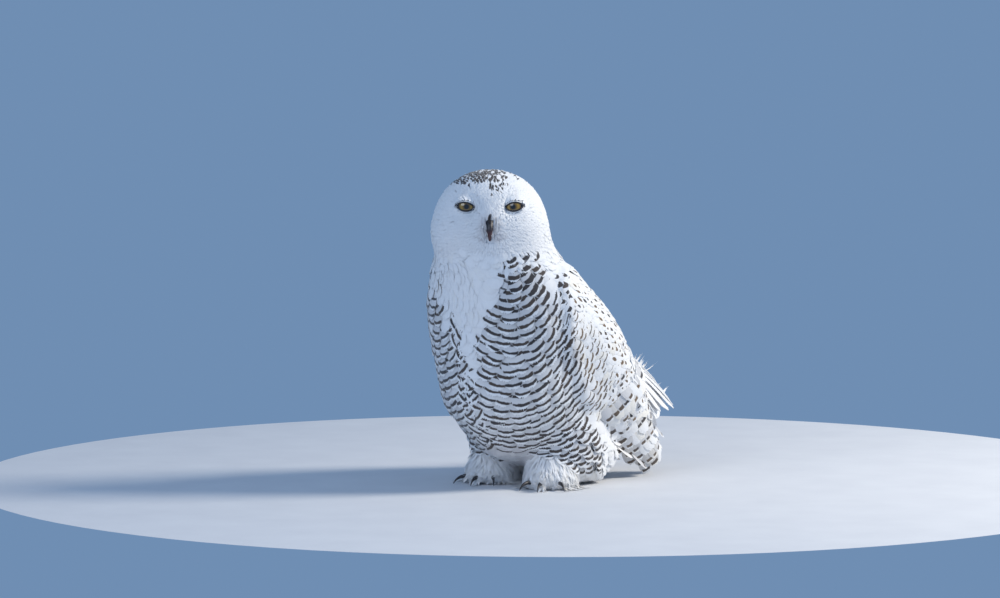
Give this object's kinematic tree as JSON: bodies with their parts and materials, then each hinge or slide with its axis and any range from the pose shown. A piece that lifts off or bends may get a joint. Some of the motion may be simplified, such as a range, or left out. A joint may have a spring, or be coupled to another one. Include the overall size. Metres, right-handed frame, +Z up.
{
  "type": "snowy owl",
  "caption": "Life-size still model of a snowy owl standing with folded wings, head turned to its left, dark bars across a white breast.",
  "frame": {"origin": "on the floor, under the middle of the bird's bounding box", "axes": "+Z up, the trunk faces -Y, the bird's left side is +X, the tail is towards +Y"},
  "size_m": [0.2712, 0.496, 0.4548],
  "materials": {
    "plumage_white": "soft white feathers",
    "plumage_barred": "white feathers with dark brown-black crescent bars",
    "plumage_spotted": "white feathers with small dark spots",
    "horn_black": "dark horn, half gloss",
    "eye_amber": "wet golden amber iris with a black pupil"
  },
  "bodies": {
    "root": {"head": "plumage_white", "neck": "plumage_white", "trunk": "plumage_barred", "tail": "plumage_spotted", "wing_left_coverts": "plumage_spotted", "wing_left_secondaries": "plumage_spotted", "wing_left_primaries": "plumage_spotted", "wing_right_coverts": "plumage_spotted", "wing_right_secondaries": "plumage_spotted", "wing_right_primaries": "plumage_spotted", "thigh_left": "plumage_barred", "thigh_right": "plumage_barred", "foot_left": "plumage_white", "foot_right": "plumage_white", "claw_left_inner": "horn_black", "claw_left_middle": "horn_black", "claw_left_outer": "horn_black", "claw_left_hind": "horn_black", "claw_right_inner": "horn_black", "claw_right_middle": "horn_black", "claw_right_outer": "horn_black", "claw_right_hind": "horn_black", "bill_upper": "horn_black", "bill_lower": "horn_black", "eye_left": "eye_amber", "eye_right": "eye_amber"}
  },
  "joints": []
}
